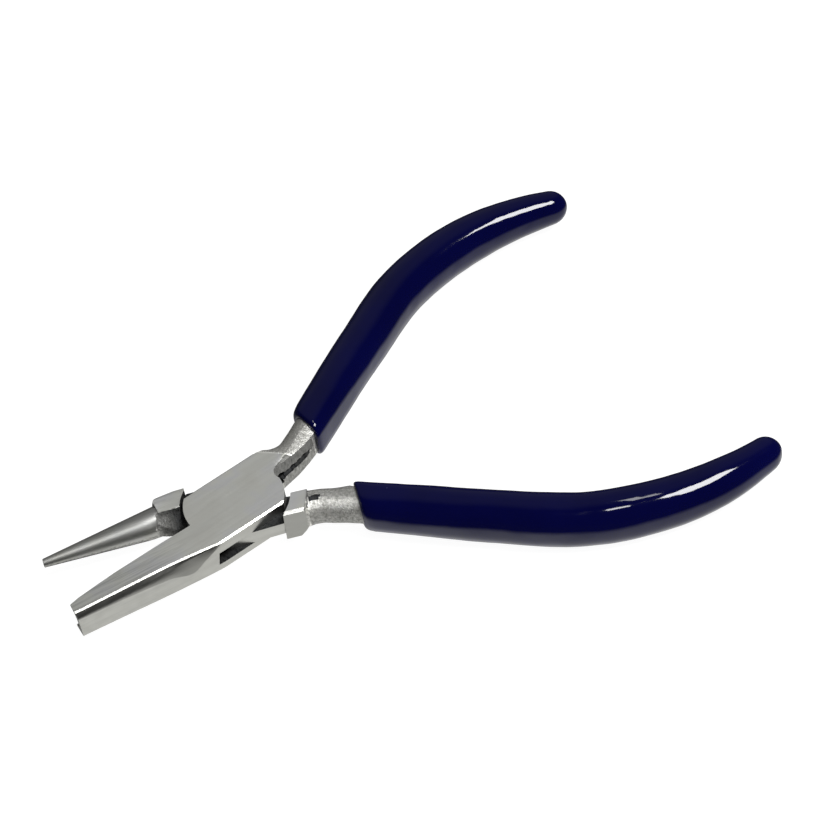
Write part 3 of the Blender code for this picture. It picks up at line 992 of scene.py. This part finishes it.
def surroundings():
    """Dim studio: pale below, dark round the horizon, a grey wall behind the object."""
    world = bpy.data.worlds.new("studio")
    bpy.context.scene.world = world
    world.use_nodes = True
    n = Graph(world.node_tree)
    background = n.tree.nodes["Background"]
    parts = n.add("ShaderNodeSeparateXYZ")
    direction = n.add("ShaderNodeTexCoord").outputs["Generated"]
    n.link(direction, parts.inputs[0])
    below = n.remap(parts.outputs["Z"], -0.80, -0.40, 1.05, 0.0)
    below = n.maths("MULTIPLY", below, n.remap(parts.outputs["Y"], 0.1, 0.65, 1.0, 0.3))
    wall = n.add("ShaderNodeVectorMath", operation="DOT_PRODUCT")
    n.link(direction, wall.inputs[0])
    wall.inputs[1].default_value = (0.22, 0.68, 0.70)
    behind = n.remap(wall.outputs["Value"], 0.55, 0.95, 0.0, 0.12)
    total = n.maths("ADD", n.maths("ADD", below, behind), 0.03)
    n.link(total, background.inputs["Strength"])
    background.inputs["Color"].default_value = (1.0, 1.0, 0.985, 1)


def studio(low_z):
    for name, settings in LIGHTS.items():
        panel(name, *settings)
    surroundings()
    bm = bmesh.new()
    bmesh.ops.create_grid(bm, x_segments=8, y_segments=8, size=FLOOR_SIZE)
    mesh = bpy.data.meshes.new("floor")
    bm.to_mesh(mesh)
    bm.free()
    floor = bpy.data.objects.new("floor", mesh)
    bpy.context.scene.collection.objects.link(floor)
    floor.location.z = low_z - FLOOR_GAP
    floor.visible_glossy = False
    mesh.materials.append(floor_paper())
    bpy.context.scene.view_settings.view_transform = "Standard"


def camera():
    azimuth = math.radians(CAMERA_AZIMUTH)
    elevation = math.radians(CAMERA_ELEVATION)
    roll = math.radians(CAMERA_ROLL)
    back = Vector((math.sin(azimuth) * math.cos(elevation),
                   -math.cos(azimuth) * math.cos(elevation), math.sin(elevation)))
    right = (-back).cross(Vector((0, 0, 1))).normalized()
    up = right.cross(-back)
    turned_right = math.cos(roll) * right + math.sin(roll) * up
    turned_up = math.cos(roll) * up - math.sin(roll) * right
    data = bpy.data.cameras.new("camera")
    data.sensor_width = SENSOR_WIDTH
    data.lens = FOCAL_LENGTH
    item = bpy.data.objects.new("camera", data)
    bpy.context.scene.collection.objects.link(item)
    basis = Matrix((turned_right, turned_up, back)).transposed().to_4x4()
    where = Vector(CAMERA_TARGET) + back * CAMERA_DISTANCE
    item.matrix_world = Matrix.Translation(where) @ basis
    bpy.context.scene.camera = item


# ---------------------------------------------------------------- the scene

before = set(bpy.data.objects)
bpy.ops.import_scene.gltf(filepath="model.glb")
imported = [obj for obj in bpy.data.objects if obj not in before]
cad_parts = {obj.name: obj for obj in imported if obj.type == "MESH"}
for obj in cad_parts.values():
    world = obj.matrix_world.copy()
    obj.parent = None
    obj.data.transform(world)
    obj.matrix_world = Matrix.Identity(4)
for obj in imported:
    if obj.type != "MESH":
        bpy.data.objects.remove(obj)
cad_low, cad_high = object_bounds()

female = box_half()
paint_shade_and_finish(female, box_shade_and_dirt, box_satin)
place(female, OPENING)
box_steel = steel("box_steel", OPENING, along_y=0.85, rough_from=15.5, jaw_turn=0.164,
                  grain_scale=(1.1, 0.3, 0.45))
dress(female, "box_side", "box_half", box_steel)

male = lap_half()
paint_shade_and_finish(male, lap_shade_and_dirt, lap_satin)
place(male, -OPENING)
lap_steel = steel("lap_steel", -OPENING, along_y=-0.311, rough_from=13.72, jaw_turn=-0.1,
                  grain_scale=(1, 1, 1))
dress(male, "lap_side", "lap_half", lap_steel)

pin = pivot_pin()
paint_shade_and_finish(pin, lambda p, normal: 0.0, flat_satin)
place(pin, OPENING)
pin_steel = steel("pin_steel", OPENING, along_y=0.0, rough_from=100.0, jaw_turn=0.0,
                  grain_scale=(1, 1, 1))
dress(pin, "box_side", "pivot_pin", pin_steel)

grip_vinyl = vinyl("navy_vinyl")
upper_grip = grip("upper_grip", 1, seed=3.0, wave=0.05, back=0.0)
place(upper_grip, OPENING)
dress(upper_grip, "box_side", "box_half_grip", grip_vinyl)

lower_grip = grip("lower_grip", -1, seed=11.0, wave=0.2, back=0.5)
place(lower_grip, -OPENING)
dress(lower_grip, "lap_side", "lap_half_grip", grip_vinyl)

studio(cad_low[2])
camera()
